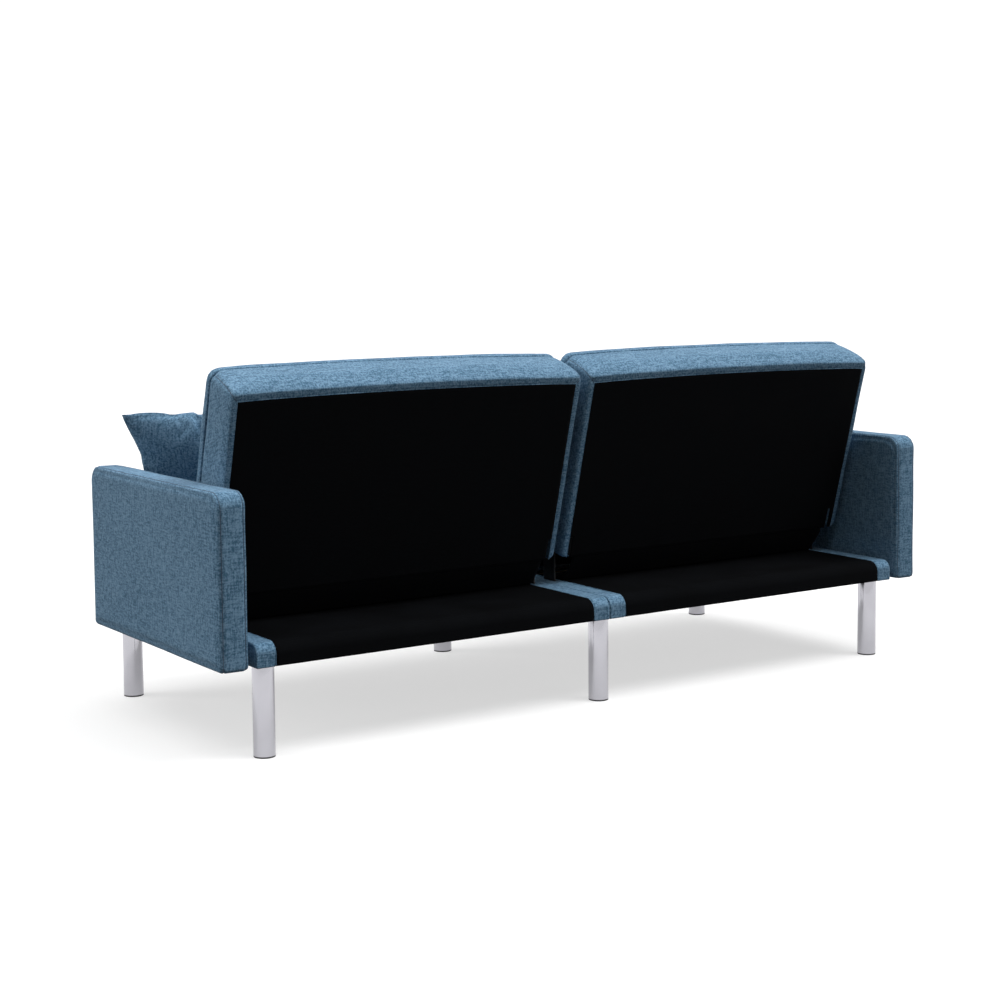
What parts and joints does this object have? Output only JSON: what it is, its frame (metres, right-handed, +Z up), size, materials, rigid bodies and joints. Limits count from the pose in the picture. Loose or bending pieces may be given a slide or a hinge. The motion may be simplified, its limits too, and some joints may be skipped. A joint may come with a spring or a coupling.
{
  "type": "futon sofa bed",
  "caption": "Armed futon sofa bed with a split backrest on click-clack hinges that reclines flat behind the seat, round metal legs and a loose lumbar pillow.",
  "frame": {"origin": "on the floor, at the middle of the sofa's width and depth at rest", "axes": "+Z up, the front of the sofa faces -Y, +X along its width towards the arm beside the pillow"},
  "size_m": [1.9, 0.75, 0.772],
  "materials": {
    "blue_fabric": "matte heathered weave",
    "black_cloth": "matte non-woven cloth",
    "foam": "matte open-cell foam",
    "webbing": "matte elastic webbing",
    "pine": "matte sawn pine",
    "leg_chrome": "polished",
    "hinge_steel": "satin black",
    "zinc_steel": "satin zinc plate",
    "foot_plastic": "matte"
  },
  "bodies": {
    "seat_base": {"arm_bolts": "zinc_steel", "arm_cover_left": "blue_fabric", "arm_cover_right": "blue_fabric", "arm_frame_left": "pine", "arm_frame_right": "pine", "arm_padding_left": "foam", "arm_padding_right": "foam", "arm_sleeves": "zinc_steel", "deck_cover_left": "black_cloth", "deck_cover_right": "black_cloth", "deck_trims_left": "blue_fabric", "deck_trims_right": "blue_fabric", "dust_cover_left": "black_cloth", "dust_cover_right": "black_cloth", "hinge_pawls": "hinge_steel", "hinge_pins": "hinge_steel", "hinge_screws": "zinc_steel", "join_plates": "hinge_steel", "leg_bolts": "zinc_steel", "leg_feet": "foot_plastic", "leg_front_left": "leg_chrome", "leg_front_middle": "leg_chrome", "leg_front_right": "leg_chrome", "leg_rear_left": "leg_chrome", "leg_rear_middle": "leg_chrome", "leg_rear_right": "leg_chrome", "module_bolts": "zinc_steel", "seat_corner_blocks": "pine", "seat_cover_left": "blue_fabric", "seat_cover_right": "blue_fabric", "seat_foam_left": "foam", "seat_foam_right": "foam", "seat_front_rail_left": "pine", "seat_front_rail_right": "pine", "seat_hinge_plates": "hinge_steel", "seat_middle_rail_left": "pine", "seat_middle_rail_right": "pine", "seat_rear_rail_left": "pine", "seat_rear_rail_right": "pine", "seat_side_rails_left": "pine", "seat_side_rails_right": "pine", "seat_springs": "zinc_steel"},
    "right_back": {"back_cover_right": "blue_fabric", "back_foam_right": "foam", "back_hinge_bolts_right": "zinc_steel", "back_hinge_plates_right": "hinge_steel", "back_rails_right": "pine", "back_rear_panel_right": "black_cloth", "back_stiles_right": "pine", "back_webbing_right": "webbing"},
    "left_back": {"back_cover_left": "blue_fabric", "back_foam_left": "foam", "back_hinge_bolts_left": "zinc_steel", "back_hinge_plates_left": "hinge_steel", "back_rails_left": "pine", "back_rear_panel_left": "black_cloth", "back_stiles_left": "pine", "back_webbing_left": "webbing"},
    "loose_pillow": {"pillow": "blue_fabric"}
  },
  "joints": [
    {"name": "right_back_recline", "type": "hinge", "parent": "seat_base", "child": "right_back", "pos_m": [0.4345, 0.0997, 0.3435], "axis": [-1, 0, 0], "range_deg": [-8, 75]},
    {"name": "left_back_recline", "type": "hinge", "parent": "seat_base", "child": "left_back", "pos_m": [-0.4345, 0.0997, 0.3435], "axis": [-1, 0, 0], "range_deg": [-8, 75]},
    {"name": "pillow_lift", "type": "slide", "parent": "seat_base", "child": "loose_pillow", "axis": [0, 0, 1], "range_m": [0, 0.25]}
  ]
}
